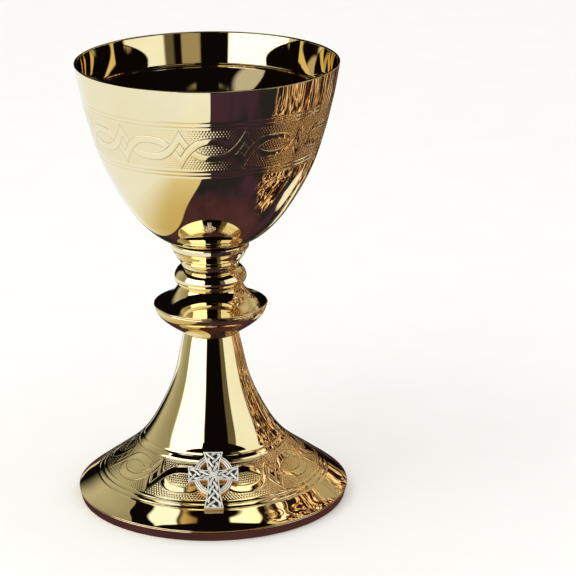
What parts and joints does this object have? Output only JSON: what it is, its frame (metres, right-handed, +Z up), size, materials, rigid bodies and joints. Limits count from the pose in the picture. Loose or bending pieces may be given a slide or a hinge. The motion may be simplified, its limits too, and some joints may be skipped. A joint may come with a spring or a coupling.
{
  "type": "communion chalice",
  "caption": "Footed cup for communion wine: spun bowl on a turned collar, bead and knop over a flared foot with an applied cross; the bowl unscrews from its tie rod.",
  "frame": {"origin": "centre of the foot, on the table", "axes": "+Z up the chalice's axis, -Y towards the front, where the cross is, +X to the right seen from the front"},
  "size_m": [0.127, 0.127, 0.209],
  "materials": {
    "bowl_gilt": "mirror-polished gold plate with an engraved, stippled band",
    "stem_gilt": "mirror-polished gold plate",
    "foot_gilt": "mirror-polished gold plate with an engraved, stippled band",
    "turned_brass": "as turned, unplated",
    "steel": "zinc plated",
    "fibre": null,
    "cross_silver": null
  },
  "bodies": {
    "stem_and_foot": {"collar": "stem_gilt", "neck_bead": "stem_gilt", "knop_top": "stem_gilt", "knop_bottom": "stem_gilt", "knop_core": "turned_brass", "foot_shell": "foot_gilt", "foot_ring": "foot_gilt", "stem_plug": "turned_brass", "tie_rod": "steel", "clamp_washer": "turned_brass", "cross": "cross_silver", "cross_pin_upper": "turned_brass", "cross_pin_lower": "turned_brass"},
    "bowl_lift": {"seat_washer": "fibre"},
    "bowl": {"bowl": "bowl_gilt", "bowl_boss": "turned_brass"},
    "nut_drop": {"lock_washer": "steel"},
    "nut": {"hex_nut": "steel"}
  },
  "joints": [
    {"name": "bowl_rise", "type": "slide", "parent": "stem_and_foot", "child": "bowl_lift", "axis": [0, 0, 1], "range_m": [0, 0.0114]},
    {"name": "bowl_turn", "type": "hinge", "parent": "bowl_lift", "child": "bowl", "pos_m": [0, 0, 0.1242], "axis": [0, 0, 1], "range_deg": [0, 3240]},
    {"name": "nut_fall", "type": "slide", "parent": "stem_and_foot", "child": "nut_drop", "axis": [0, 0, -1], "range_m": [0, 0.01125]},
    {"name": "nut_turn", "type": "hinge", "parent": "nut_drop", "child": "nut", "pos_m": [0, 0, 0.0382], "axis": [0, 0, -1], "range_deg": [0, 3241]}
  ],
  "couplings": [
    {"joint": "bowl_rise", "follows": "bowl_turn", "m_per_rad": 0.00019894},
    {"joint": "nut_turn", "follows": "nut_fall", "rad_per_m": 5026.5}
  ]
}
